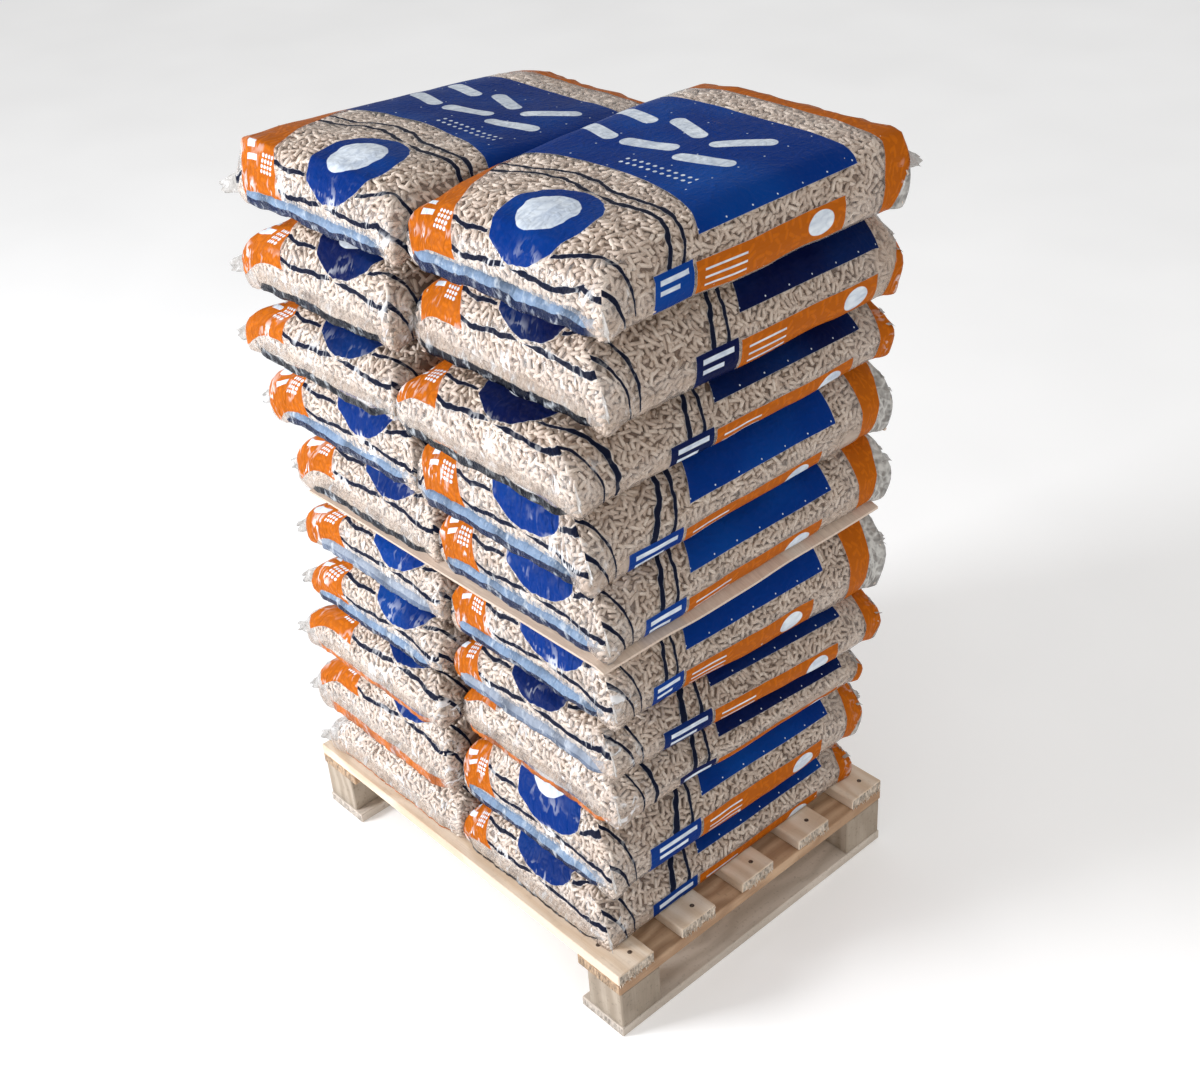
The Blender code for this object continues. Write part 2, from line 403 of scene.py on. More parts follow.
def film_material():
    tree = Tree("printed_film_look")
    s, u = tree.uv("print")
    length, girth = tree.uv("film")
    stored = ("sack", "crushed", "deep", "slack", "misty")
    turn, crushed, deep, slack, misty = (tree.value(name) for name in stored)
    flat = tree.xyz(s, u)
    wobble = (tree.noise(flat, 30.0, 2.0) - 0.5) * 0.018

    def angle_of(i, j):
        made = tree.add("ShaderNodeTexWhiteNoise", {"Vector": tree.xyz(i, j)})
        return tree.num(made.outputs[0])

    # Creases run in from the ends, and cross each other where the film is crushed.
    where = tree.xyz(length, girth, turn * 7.0)
    long = tree.noise(tree.scaled(where, (14.0, 46.0, 1.0)), 1.5, 2.0, 0.55)
    crossed = tree.noise(where, 32.0, 2.0, 0.55)
    long_fold = held(1.0 - size_of(long - 0.5) * 9.0)
    cross_fold = held(1.0 - size_of(crossed - 0.5) * 8.0)
    folds = long_fold * 0.6 + cross_fold * 0.6
    patches = held((tree.noise(where, 10.0, 2.0) - 0.47) * 5.0)
    relief, _ = rod_relief(tree, s, u, 1)
    colour, ink = PALE_BLUE, None
    cast = held((tree.noise(tree.xyz(length, girth, turn * 9.0), 7.0, 1.0) - 0.45) * 3.0)
    inks = {
        # Painted shade: each sack's blue is darkened by its stored share; it is also lightened in random
        # patches.
        NAVY: tree.mix(cast * 0.5 * (1.0 - deep * 0.7), tree.mix(deep, NAVY, SHADED_NAVY), LIGHT_NAVY),
        # Painted shade: the orange is darker where it lies between the rods.
        ORANGE: tree.mix(relief * 0.35 + 0.65, SHADED_ORANGE, ORANGE),
        # Painted shade: the white ink is greyer along the film's folds; it is also greyer in random patches.
        WHITE: tree.mix(held(folds * 0.55 + patches * 0.25), WHITE, srgb(168, 180, 198)),
    }
    for tint, mask in artwork(s, u, wobble, angle_of):
        colour = tree.mix(mask, colour, inks.get(tint, tint))
        ink = mask if ink is None else most(ink, mask)
    # Along the front seam the film stands off the pellets, drawn into short streaks.
    streaks = tree.noise(tree.scaled(where, (30.0, 190.0, 1.0)), 1.0, 2.0)
    loose = held(1.0 - (length - 0.004) / 0.022) * held((streaks - 0.34) * 3.4)
    # Low on the sides it is slack, and past the rear band it is bunched and grey.
    slack = slack * held(0.35 + patches * 0.5 + folds * 0.4)
    misty = held((s - 0.652) / 0.003) * held(misty * (0.62 + folds * 0.5))
    # Painted highlights: white glints on the folds of crushed film, drawn into the film's colour and its
    # cover.
    sheen = held((tree.noise(where, 24.0, 1.5) - 0.50) * 7.0)
    glint = held((folds - 0.60) * 4.0) * sheen * held(crushed * 1.6)
    # The film's milky cover: real where it stands loose or slack off the pellets, and painted glare on the
    # folds of crushed film and at the glints.
    haze_and_glare = patches * folds * 0.05 + crushed * (0.03 + folds * 0.30)
    haze_and_glare = most(most(haze_and_glare, most(glint * 0.88, slack * 0.62)), most(loose * 0.66, misty))
    base = tree.mix(loose, (0.76, 0.76, 0.77), srgb(214, 202, 190))
    base = tree.mix(held(slack * 2.0), base, srgb(196, 178, 164))
    # Painted highlight and shade: the grey of the bunched rear film is lighter on its folds and darker
    # between them.
    base = tree.mix(held(misty * 1.5), base, tree.mix(folds, srgb(138, 136, 134), srgb(196, 194, 190)))
    base = tree.mix(ink, base, colour)
    # The painted glints whiten the colour.
    base = tree.mix(held(glint * 0.75), base, (0.84, 0.86, 0.90))
    normal = tree.bump(relief, 0.22, 0.0020)
    normal = tree.bump(folds * (0.25 + crushed * 1.6), 0.6, 0.0026, normal)
    scuffs = tree.noise(flat, 60.0, 3.0)
    rough = 0.13 + scuffs * 0.16
    tree.set(Base_Color=base, Roughness=rough + 0.14, Normal=normal, Specular_IOR_Level=0.02)
    clear = clear_film(tree, normal, rough)
    cover = most(ink * 0.985, held(haze_and_glare))
    both = tree.add("ShaderNodeMixShader", {0: cover, 1: clear, 2: tree.shader.outputs[0]})
    tree.links.new(both.outputs[0], tree.nodes["Material Output"].inputs["Surface"])
    return tree.material


def pellet_material():
    """The rods: pressed sawdust, each of its own tone."""
    tree = Tree("pellets_look")
    tone = tree.value("tone")
    place = tree.place()
    grain = tree.noise(place, 900.0, 2.0)
    blend = tone * 0.75 + grain * 0.35
    colour = tree.ramp(
        blend,
        (0.0, srgb(166, 146, 130)), (0.35, srgb(200, 182, 168)),
        (0.7, srgb(220, 204, 190)), (1.0, srgb(238, 226, 214)),
    )
    normal = tree.bump(grain, 0.3, 0.0004)
    return tree.set(Base_Color=colour, Roughness=0.6, Normal=normal)


def core_material():
    """What shows between the rods, and under the film where none are laid: more pellets."""
    tree = Tree("pellet_bed")
    s, u = tree.uv("print")
    height, tone = rod_relief(tree, s, u, 2)
    colour = tree.ramp(
        tone, (0.0, srgb(164, 142, 124)), (0.5, srgb(204, 184, 168)), (1.0, srgb(230, 214, 200))
    )
    # Painted shade: the gaps between the rods are darker brown.
    colour = tree.mix(held(height * 1.6), srgb(118, 98, 84), colour)
    normal = tree.bump(height, 0.9, 0.0028)
    return tree.set(Base_Color=colour, Roughness=0.65, Normal=normal)


def tail_material(name, upper, lower, solid, parted=0.0125, veil=None):
    """The welded film beyond a seam: printed in two colours, or clear above its printed rim, and
    clear again at its ends."""
    tree = Tree(name)
    s, u = tree.uv("print")
    bare = tree.value("bare")
    creases = tree.noise(tree.xyz(s * 30.0 + u * 9.0, u * 40.0 - s * 20.0, 0.0), 1.5, 3.0, 0.6)
    slow = tree.noise(tree.xyz(s * 6.0, u * 17.0, 3.0), 1.0, 2.0)
    streaks = held((tree.noise(tree.xyz(u * 210.0 + s * 40.0, s * 34.0, 9.0), 1.0, 2.0) - 0.40) * 3.6)
    # Painted highlights: pale streaks where the creases catch the light; the film is lighter and more opaque
    # on them.
    crease_glare = held((creases - 0.53) * 7.0) * held((slow - 0.33) * 5.0)
    dull = held((slow - 0.48) * 6.0)
    split = held((s - parted + (creases - 0.5) * 0.007 + (slow - 0.5) * 0.012) / 0.0008)
    if veil is not None:
        upper = tree.mix(streaks, srgb(158, 144, 132), upper)
    base = tree.mix(split, upper, lower)
    base = tree.mix(dull * 0.55, base, (0.010, 0.016, 0.034))
    base = tree.mix(held(crease_glare * 0.55), base, (0.66, 0.70, 0.74))
    film = tree.mix(crease_glare, (0.44, 0.42, 0.40), (0.82, 0.82, 0.82))
    base = tree.mix(held(bare * 1.4), base, film)
    cover = solid if veil is None else (streaks * 0.5 + 0.6) * veil * (1.0 - split) + split * solid
    normal = tree.bump(creases + streaks * 0.25, 0.8, 0.006)
    return tree.set(
        Base_Color=base,
        Roughness=0.22,
        Alpha=held(cover + crease_glare * 0.25) * (1.0 - bare) + bare * (0.62 + crease_glare * 0.35),
        Normal=normal,
        Specular_IOR_Level=0.14,
    )


def along_grain(along, lengthwise, across):
    """A pattern's scale on each axis, coarser along the grain than across it."""
    return tuple(lengthwise if axis == along else across for axis in range(3))


def wood_material(name, along, pale, deep, dirt, age):
    """Sawn softwood: grain along one axis, rings on the cut ends, knots, and by age dirt and a darkening
    towards the bottom.
    """
    pale, deep, dirt = (srgb(*colour) for colour in (pale, deep, dirt))
    tree = Tree(name)
    place = tree.place()
    warp = tree.scaled(tree.xyz(*[tree.noise(place, 5.0, 2.0)] * 3), (2.2, 2.2, 2.2))
    long_grain = tree.scaled(place, along_grain(along, 1.6, 26.0))
    swirl = tree.add("ShaderNodeVectorMath", {0: long_grain, 1: warp}, operation="ADD").outputs[0]
    rings = tree.add(
        "ShaderNodeTexWave",
        {"Vector": swirl, "Scale": 0.42, "Distortion": 5.5, "Detail": 3.0, "Detail Scale": 1.4},
        bands_direction="Y" if along == 0 else "X",
    )
    bands = tree.num(rings.outputs["Fac"])
    fibres = tree.noise(tree.scaled(place, along_grain(along, 9.0, 420.0)), 1.0, 3.0, 0.6)
    blotch = tree.noise(place, 7.0, 3.0)
    grain = held(bands * 0.55 + fibres * 0.5 - 0.05)
    colour = tree.mix(grain, pale, deep)
    colour = tree.mix(held((blotch - 0.5) * 2.5) * age, colour, dirt)
    knots = tree.add("ShaderNodeTexVoronoi", {
        "Vector": tree.scaled(place, along_grain(along, 3.4, 7.0)), "Scale": 1.0, "Randomness": 1.0,
    })
    chosen = tree.add("ShaderNodeSeparateColor", {0: knots.outputs["Color"]})
    few = held((tree.num(chosen.outputs[0]) - 0.45) * 9.0)
    knot = held(1.5 - tree.num(knots.outputs["Distance"]) * 15.0) * few
    colour = tree.mix(knot * 0.75, colour, tuple(0.42 * v for v in deep))
    facing = tree.split(tree.add("ShaderNodeNewGeometry").outputs["True Normal"])
    cut = held((size_of(facing[along]) - 0.8) * 8.0)
    ends = tree.noise(tree.scaled(place, (170.0, 170.0, 60.0)), 1.4, 4.0, 0.7)
    dark, light = (tuple(share * v for v in pale) for share in (0.20, 0.85))
    colour = tree.mix(cut, colour, tree.ramp(ends, (0.36, dark), (0.62, light)))
    # Darker towards the floor, up to 35 mm up, more on older wood.
    low_darkening = held(1.0 - tree.split(place)[2] / 0.035) * age
    speck = held((tree.noise(place, 160.0, 2.0) - 0.60) * 9.0) * age
    colour = tree.mix(held(low_darkening * 0.55 + speck * 0.5), colour, dirt)
    height = fibres * 0.6 + bands * 0.4 + ends * cut
    normal = tree.bump(height, 0.45, 0.0016)
    return tree.set(Base_Color=colour, Roughness=0.78, Normal=normal)


def board_material():
    tree = Tree("brown_board_look")
    place = tree.place()
    fibres = tree.noise(tree.scaled(place, (40.0, 320.0, 40.0)), 1.0, 4.0, 0.65)
    waves = {"Vector": place, "Scale": 38.0, "Distortion": 0.4}
    flutes = tree.num(tree.add("ShaderNodeTexWave", waves, bands_direction="Y").outputs["Fac"])
    colour = tree.ramp(fibres, (0.25, srgb(192, 172, 156)), (0.75, srgb(218, 200, 184)))
    colour = tree.mix(held((tree.noise(place, 6.0) - 0.5) * 2.0) * 0.30, colour, srgb(150, 126, 108))
    front = held((-0.285 - tree.split(place)[1]) / 0.02) * (0.55 + 0.4 * tree.noise(place, 26.0))
    colour = tree.mix(held(front), colour, srgb(104, 82, 68))
    normal = tree.bump(flutes * 0.35 + fibres * 0.65, 0.35, 0.0009)
    return tree.set(Base_Color=colour, Roughness=0.85, Normal=normal)


# Meshes
def mesh_piece(name, points, faces, material, smooth=True):
    mesh = bpy.data.meshes.new(name)
    mesh.from_pydata([tuple(p) for p in points], [], [tuple(f) for f in faces])
    mesh.polygons.foreach_set("use_smooth", [smooth] * len(mesh.polygons))
    mesh.materials.append(material)
    mesh.update()
    made = bpy.data.objects.new(name, mesh)
    bpy.context.scene.collection.objects.link(made)
    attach(made, "root")
    return made


def set_uv(piece, name, corners):
    layer = piece.data.uv_layers.new(name=name)
    layer.data.foreach_set("uv", np.asarray(corners, np.float32).ravel())


def lattice(*cells):
    """The surface of a box of cells: index triples of its points, and its quads by side."""
    index, triples = {}, []

    def at(key):
        if key not in index:
            index[key] = len(triples)
            triples.append(key)
        return index[key]

    def side(fixed, level, steps):
        """The quads of one side, of which each steps round its four corners."""
        free = [axis for axis in range(3) if axis != fixed]
        found = []
        for first in product(*(range(cells[axis]) for axis in free)):
            corners = [[a + b for a, b in zip(first, step)] for step in steps]
            for corner in corners:
                corner.insert(fixed, level)
            found.append([at(tuple(corner)) for corner in corners])
        return np.array(found)

    onward, back = ((0, 0), (1, 0), (1, 1), (0, 1)), ((0, 0), (0, 1), (1, 1), (1, 0))
    quads = {
        "top": side(2, cells[2], onward), "bottom": side(2, 0, back),
        "front": side(1, 0, onward), "rear": side(1, cells[1], back),
        "right": side(0, cells[0], onward), "left": side(0, 0, back),
    }
    return np.array(triples), quads


def grid_faces(first, columns, rows):
    """The quads of a grid of points that are listed column by column from the one numbered first."""
    tall = rows + 1
    starts = [first + i * tall + k for i in range(columns) for k in range(rows)]
    return [(at, at + tall, at + tall + 1, at + 1) for at in starts]


TRIPLES, QUADS = lattice(*FILM_CELLS)
BED_TRIPLES, BED_QUADS = lattice(*(n // 2 for n in FILM_CELLS))
ALL_QUADS = np.concatenate([QUADS[side] for side in QUADS])
SIDE_OF = np.concatenate([[side] * len(QUADS[side]) for side in QUADS])
EDGES = np.concatenate([ALL_QUADS[:, [k, (k + 1) % 4]] for k in range(4)])


def smoothed(points, rounds):
    """Evened out without shrinking, by a step in and a step out."""
    count = np.bincount(EDGES[:, 0], minlength=len(points))[:, None]
    for k in range(2 * rounds):
        total = np.zeros_like(points)
        np.add.at(total, EDGES[:, 0], points[EDGES[:, 1]])
        # Each edge is listed by both its quads, once each way.
        points = points + (total / count - points) * (0.5 if k % 2 == 0 else -0.52)
    return points


def unit(vectors):
    return vectors / np.linalg.norm(vectors, axis=1)[:, None]


def normals_of(points):
    a, b, c, d = (points[ALL_QUADS[:, k]] for k in range(4))
    flat = np.cross(c - a, d - b)
    total = np.zeros_like(points)
    for k in range(4):
        np.add.at(total, ALL_QUADS[:, k], flat)
    return unit(total)


def eased(v):
    v = np.clip(v, 0, 1)
    return v * v * (3 - 2 * v)


def value_noise(points, scale, seed):
    """Smooth noise from -1 to 1 at each point, the same on every run."""
    rng = np.random.default_rng(seed)
    table = rng.uniform(-1, 1, (16, 16, 16))
    p = np.asarray(points) * scale + 64
    cell = np.floor(p).astype(int)
    t = p - cell
    t = t * t * (3 - 2 * t)
    total = 0
    for corner in product((0, 1), repeat=3):
        shares = np.where(corner, t, 1 - t)
        x, y, z = ((cell + corner) % 16).T
        total = total + shares[:, 0] * shares[:, 1] * shares[:, 2] * table[x, y, z]
    return total


class Sack:
    """One sack's surface, from its CAD node: points on a box grid, and their place on the film."""

    def __init__(self, name, number, side):
        self.name, self.number, self.side = name, number, side
        mesh = nodes[name].data
        self.tree = BVHTree.FromPolygons([v.co for v in mesh.vertices], [p.vertices for p in mesh.polygons])
        low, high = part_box(name)
        self.x = (low.x, high.x)
        self.y = (low.y + FIN_OUT, high.y - FIN_OUT)
        self.bottom, self.top = self.level(-1), self.level(1)
        self.points = self.shape()
        self.normals = normals_of(self.points)
        self.where()

    def level(self, way):
        """The height of the sack's underside or top as a line along its length."""
        middle, found = sum(self.x) / 2, []
        for share in (0.25, 0.75):
            y = self.y[0] + share * (self.y[1] - self.y[0])
            hit = self.tree.ray_cast(Vector((middle, y, 0 if way < 0 else 2)), Vector((0, 0, -way)))
            found.append((y, hit[0].z))
        (y0, z0), (y1, z1) = found
        return lambda y: z0 + (z1 - z0) * (y - y0) / (y1 - y0)

    def height_of(self, points):
        """How high points lie in the sack, from 0 at its underside to 1 at its top."""
        bottom, top = self.bottom(points[:, 1]), self.top(points[:, 1])
        return (points[:, 2] - bottom) / (top - bottom)

    def margins(self, points):
        """How far points lie inside the sack's front, rear, left and right."""
        x, y = points[:, 0], points[:, 1]
        return y - self.y[0], self.y[1] - y, x - self.x[0], self.x[1] - x

    def shape(self):
        shares = TRIPLES / np.array(FILM_CELLS)
        shares = shares - np.array(CROWDING) * np.sin(2 * math.pi * shares)
        outer, found = self.box_and_solid(*shares.T)
        found += (outer - found) * self.fullness(*shares.T)[:, None]
        found[:, 0] -= self.lean(*shares.T)
        found[:, 1] = np.clip(found[:, 1], self.y[0] - END_PLAY, self.y[1] + END_PLAY)
        found = smoothed(found, SMOOTHING)
        found[:, 2] = np.clip(found[:, 2], self.bottom(found[:, 1]), self.top(found[:, 1]))
        found = self.lumpy(found)
        found[:, 2] -= self.sag(found)
        return found

    def box_and_solid(self, across, along, up):
        """Points at these shares of the sack's box, and where a line to each leaves the solid."""
        x = self.x[0] + across * (self.x[1] - self.x[0])
        y = self.y[0] + along * (self.y[1] - self.y[0])
        bottom, top = self.bottom(y), self.top(y)
        outer = np.stack([x, y, bottom + up * (top - bottom)], axis=1)
        reach = (top - bottom) / 2
        x, y = (np.clip(v, low + reach, high - reach) for v, (low, high) in ((x, self.x), (y, self.y)))
        found = outer.copy()
        for k, (start, end) in enumerate(zip(np.stack([x, y, (top + bottom) / 2], axis=1), outer)):
            hit = self.tree.ray_cast(Vector(start), Vector(end - start))
            if hit[0] is not None:
                found[k] = hit[0]
        return outer, found

    def fullness(self, across, along, up):
        """How much fuller than its solid the sack is, from 0 to 1 at its box."""
        full = FULL_LOW + (FULL_HIGH - FULL_LOW) * eased(up * 1.4 - 0.2)
        to_side, to_end = (2 * np.minimum(share, 1 - share) for share in (across, along))
        upright = eased(1 - to_side * 3) * eased(1 - to_end * 4)
        full = np.maximum(full, upright * FULL_CORNER * eased(1.5 - 1.2 * up))
        if self.name == "sack_10_left":
            full = np.maximum(full, eased(1.4 - across * 3) * eased(up * 2) * 0.50)
        if self.name == "sack_10_right":
            behind = eased(3 * across - 2) * eased(3 * along - 2)
            beside = eased(1 - 5 * across) * eased(3 * along - 1)
            full = np.maximum(full, np.maximum(behind, beside) * 0.5 * eased(up * 2))
        if self.name == "sack_04_left":
            full = full * (1 - 0.6 * eased(1 - to_side * 2))
        if self.number == 1:
            full = np.maximum(full, 0.85 * eased(1.4 - 1.7 * up))
        return full

    def lean(self, across, along, up):
        """How far the upper half of the outer side leans in, along X."""
        if self.number == TOP_LAYER:
            return 0.0
        way, beside = (1, across) if self.side == "right" else (-1, 1 - across)
        return way * (LEAN_IN * eased((up - 0.40) / 0.75) * eased(beside * 2 - 0.8))

    def sag(self, points):
        height = self.height_of(points)
        share = 1.0
        if self.number == 1:
            share = eased(height * 1.5)
        if self.number == TOP_LAYER:
            share = 1 - 0.75 * eased(height * 1.2)
        return SAG * eased(1 - np.minimum(*self.margins(points)[2:]) / SAG_REACH) * share

    def lumpy(self, points):
        """Soft lumps where the sack touches nothing, and hollows only on the very top."""
        bottom, top = self.bottom(points[:, 1]), self.top(points[:, 1])
        seed = self.number * 2 + (self.side == "right")
        lump = value_noise(points, 9.0, seed) * 0.0026 + value_noise(points, 27.0, seed + 40) * 0.0011
        out = normals_of(points)
        free = eased((top - points[:, 2]) / 0.006) * eased((points[:, 2] - bottom) / 0.006)
        if self.number == TOP_LAYER:
            upper = points[:, 2] > (bottom + top) / 2
            free = np.where(upper, 1.0, free)
            lump = np.where(upper, lump - 0.0024, lump)
        return points + out * (lump * free)[:, None]

    def run(self, *key):
        """The points along one line of the grid, with None for the axis that runs."""
        axis = key.index(None)
        others = [a for a in range(3) if a != axis]
        chosen = np.all(TRIPLES[:, others] == [key[a] for a in others], axis=1)
        order = np.argsort(TRIPLES[chosen, axis])
        return self.points[chosen][order]

    def lengths(self, *key):
        line = self.run(*key)
        return np.concatenate([[0], np.cumsum(np.linalg.norm(np.diff(line, axis=0), axis=1))])

    def where(self):
        """For each quad's corners, S and U on the film, and S and U on its print."""
        nx, ny, nz = FILM_CELLS
        over = self.lengths(nx // 2, None, nz)
        across = self.lengths(None, ny // 2, nz)
        across -= across[-1] / 2
        half = across[-1]
        sides = [self.lengths(edge, ny // 2, None) for edge in (0, nx)]
        sides = [lengths[-1] - lengths for lengths in sides]
        front = self.lengths(nx // 2, 0, None)
        rear = self.lengths(nx // 2, ny, None)
        seam_front = front[-1] * (1 - SEAM_SHARE)
        front, rear = front[-1] - front, rear[-1] - rear
        outer = 1 if self.side == "right" else -1
        front_shift, side_shift, edge_at = (v / 1000 for v in PRINT[self.side][self.number - 1])
        film, print_at = [], []
        for name, quads in QUADS.items():
            i, j, k = (TRIPLES[quads][:, :, axis] for axis in range(3))
            way = np.where(across[i] >= 0, 1, -1)
            wide = np.abs(across[i])
            if name in ("top", "bottom"):
                s = seam_front + over[j]
                u = wide if name == "top" else 2 * half + sides[0][0] - wide
            elif name in ("front", "rear"):
                depth = (front if name == "front" else rear)[k]
                turn = eased(1 - (half - wide) / CORNER_REACH) * math.pi / 4
                s = depth * np.cos(turn)
                s = seam_front - s if name == "front" else seam_front + over[-1] + s
                u = wide + depth * np.sin(turn)
            else:
                down = sides[1 if name == "right" else 0][k]
                near = eased(1 - over[j] / CORNER_REACH)
                far = eased(1 - (over[-1] - over[j]) / CORNER_REACH)
                lean = math.radians(SIDE_LEAN) * (1 - over[j] / over[-1])
                back = near * math.pi / 4 + (1 - near) * lean
                s = seam_front + over[j] - down * np.sin(back) + down * np.sin(far * math.pi / 4)
                u = half + down * np.minimum(np.cos(back), np.cos(far * math.pi / 4))
                way = np.full_like(i, 1 if name == "right" else -1)
            film.append(np.stack([s, u * way], axis=2))
            turned = eased((s - 0.10) / 0.14)
            shift = front_shift * (1 - turned) + side_shift * turned
            print_at.append(np.stack([s - shift, u * way + outer * (PANEL_EDGE - edge_at)], axis=2))
        self.film, self.print_at = np.concatenate(film), np.concatenate(print_at)
        self.length = seam_front + over[-1] + rear[0] * (1 - SEAM_SHARE)


def wrinkled(sack):
    """The film's own shape: a little proud of the pellets, gathered in pleats at its ends."""
    points, normals = sack.points, sack.normals
    seed = 100 + sack.number * 2 + (sack.side == "right")
    to_front, to_rear, to_left, to_right = sack.margins(points)
    near = eased(1 - np.minimum(to_front, to_rear) / 0.055)
    pleats = value_noise(points * (1.0, 0.25, 0.18), 62, seed)
    pleats = np.abs(pleats) * 0.0046
    slack = value_noise(points * (1.0, 0.6, 1.0), 24, seed + 50) * 0.0014
    share = sack.height_of(points)
    above_seam = np.maximum(eased((share - SEAM_SHARE) / 0.22), eased(to_front / 0.03 - 0.6))
    lift = 0.0006 + (near * pleats + np.maximum(slack, 0) * 0.8) * above_seam
    # At the outer corner of the front the film is empty, and stands off as a clear rim.
    outer = to_right if sack.side == "right" else to_left
    rim = eased(1 - np.hypot(np.maximum(to_front, 0), np.maximum(outer, 0)) / 0.075)
    rim = rim * eased(1.6 * (1 - share) + 0.25)
    lift = lift + rim * (EMPTY_CORNER[sack.side] if sack.number not in (4, TOP_LAYER) else 0.002)
    moved = points + normals * lift[:, None]
    below = np.minimum(points[:, 2], sack.bottom(points[:, 1]))
    above = sack.top(points[:, 1]) + (0.0012 if sack.number == TOP_LAYER else 0)
    moved[:, 2] = np.clip(moved[:, 2], below, above)
    return moved


def crushed_at(sack):
    """Where the film is bunched: along both seams, and most at the upright corners of the front."""
    ahead, behind, *sides = sack.margins(sack.points)
    corner = np.minimum(*sides)
    low = eased(1 - np.abs(sack.height_of(sack.points) - SEAM_SHARE) / 0.45)
    front = eased(1 - ahead / 0.030) * (0.30 + 0.45 * low)
    knot = eased(1 - np.hypot(ahead, corner) / 0.085) * (0.45 + 0.55 * low)
    rear = eased(1 - behind / 0.030) * (0.4 + 0.5 * low)
    return np.clip(np.maximum(np.maximum(front, knot), rear), 0, 1)


def misty_at(sack):
    """How well slack film hides the pellets of the rear end: less in the middle of its face."""
    _, behind, *sides = sack.margins(sack.points)
    rim = np.minimum(*sides)
    return 0.62 + 0.38 * np.maximum(eased(behind / 0.02), eased(1 - rim / 0.05))


def slack_at(sack):
    """Where the film is slack over the pellets: low on the long sides, in uneven stretches."""
    uneven = 0.75 + 0.6 * value_noise(sack.points, 8.0, 300 + sack.number)
    low = eased(1 - (sack.height_of(sack.points) - 0.10) / 0.34)
    rear = 0.8 * eased(1 - sack.margins(sack.points)[1] / 0.13)
    return np.clip(np.maximum(low, rear) * uneven, 0, 1)


def set_value(piece, name, values):
    layer = piece.data.attributes.new(name, "FLOAT", "POINT")
    layer.data.foreach_set("value", np.asarray(values, np.float32))


def scatter(sack, rng):
    """Places for the rods that show: points on the surface, thinned to an even spread."""
    sides = {"front", "rear", sack.side}
    inner = "left" if sack.side == "right" else "right"
    keep = np.isin(SIDE_OF, list(sides))
    centre = sack.points[ALL_QUADS].mean(axis=1)
    ahead, behind, *edges = sack.margins(centre)
    ends = np.minimum(ahead, behind)
    keep |= (SIDE_OF == inner) & (ends < 0.05)
    rim = np.minimum(ends, np.minimum(*edges))
    keep |= (SIDE_OF == "top") & ((rim < 0.055) | (sack.number == TOP_LAYER))
    chosen = np.flatnonzero(keep)
    a, b, c, d = (sack.points[ALL_QUADS[chosen, k]] for k in range(4))
    area = np.linalg.norm(np.cross(c - a, d - b), axis=1) / 2
    count = int(area.sum() / (PELLET_PITCH ** 2 * 0.42))
    pick = rng.choice(len(chosen), count, p=area / area.sum())
    v, w = rng.random(count)[:, None], rng.random(count)[:, None]
    quads = ALL_QUADS[chosen[pick]]

    def between(values):
        q = [values[:, k] for k in range(4)]
        return (q[0] * (1 - v) + q[1] * v) * (1 - w) + (q[3] * (1 - v) + q[2] * v) * w

    where = between(sack.points[quads])
    normal = between(sack.normals[quads])
    film = between(sack.print_at[chosen[pick]])
    kept, cells = [], {}
    around = list(product((-1, 0, 1), repeat=3))
    for k, p in enumerate(where):
        x, y, z = (p / PELLET_PITCH).astype(int)
        near = (cells.get((x + dx, y + dy, z + dz), ()) for dx, dy, dz in around)
        others = (other for found in near for other in found)
        if not any(((where[other] - p) ** 2).sum() < PELLET_PITCH ** 2 for other in others):
            cells.setdefault((x, y, z), []).append(k)
            kept.append(k)
    kept = np.array(kept)
    return where[kept], normal[kept], film[kept]


def hidden_by_ink(film):
    """Where the print covers the pellets, with a margin so that its edges show whole rods."""
    covered = np.ones(len(film), bool)
    reach = 0.011
    for ds, du in ((0, 0), (reach, 0), (-reach, 0), (0, reach), (0, -reach)):
        ink = np.zeros(len(film))
        zero = np.zeros(len(film))
        for _, mask in artwork(film[:, 0] + ds, film[:, 1] + du, zero, lambda i, j: zero):
            ink = np.maximum(ink, mask)
        covered &= ink > 0.5
    return covered


# A rod's section is a half round with a flat underside.
SECTION = np.radians([-8.0, 41.0, 90.0, 139.0, 188.0])


def rods(sack, rng, material):
    where, normal, film = scatter(sack, rng)
    bare = ~hidden_by_ink(film)
    where, normal = where[bare], normal[bare]
    count = len(where)
    normal = unit(normal)
    loose = rng.normal(size=(count, 3))
    along = unit(np.cross(normal, loose))
    along = unit(along + normal * rng.uniform(-0.10, 0.10, count)[:, None])
    side = unit(np.cross(along, normal))
    up = np.cross(side, along)
    half = rng.uniform(PELLET_LENGTHS[0], PELLET_LENGTHS[1], count)[:, None] / 2
    centre = where - normal * (PELLET_RADIUS + PELLET_SUNK * rng.uniform(0.35, 1.25, count))[:, None]
    rings = []
    for end in (-1, 1):
        for angle in SECTION:
            ring = centre + along * half * end
            ring = ring + side * math.cos(angle) * PELLET_RADIUS + up * math.sin(angle) * PELLET_RADIUS
            rings.append(ring)
    points = np.stack(rings, axis=1).reshape(-1, 3)
    n = len(SECTION)
    quads = [(k, k + 1, n + k + 1, n + k) for k in range(n - 1)] + [(n - 1, 0, n, 2 * n - 1)]
    first = np.arange(count)[:, None] * 2 * n
    faces = [tuple(f) for q in quads for f in (first + np.array(q)[None])]
    caps = [tuple(f) for q in ((4, 3, 2, 1, 0), (5, 6, 7, 8, 9)) for f in (first + np.array(q)[None])]
    name = f"pellets_{sack.number:02d}_{sack.side}"
    piece = mesh_piece(name, points, faces + caps, material)
    flat = np.ones(len(piece.data.polygons), bool)
    flat[len(faces) - count:] = False
    piece.data.polygons.foreach_set("use_smooth", flat)
    set_value(piece, "tone", np.repeat(rng.beta(2.2, 2.0, count), 2 * n))


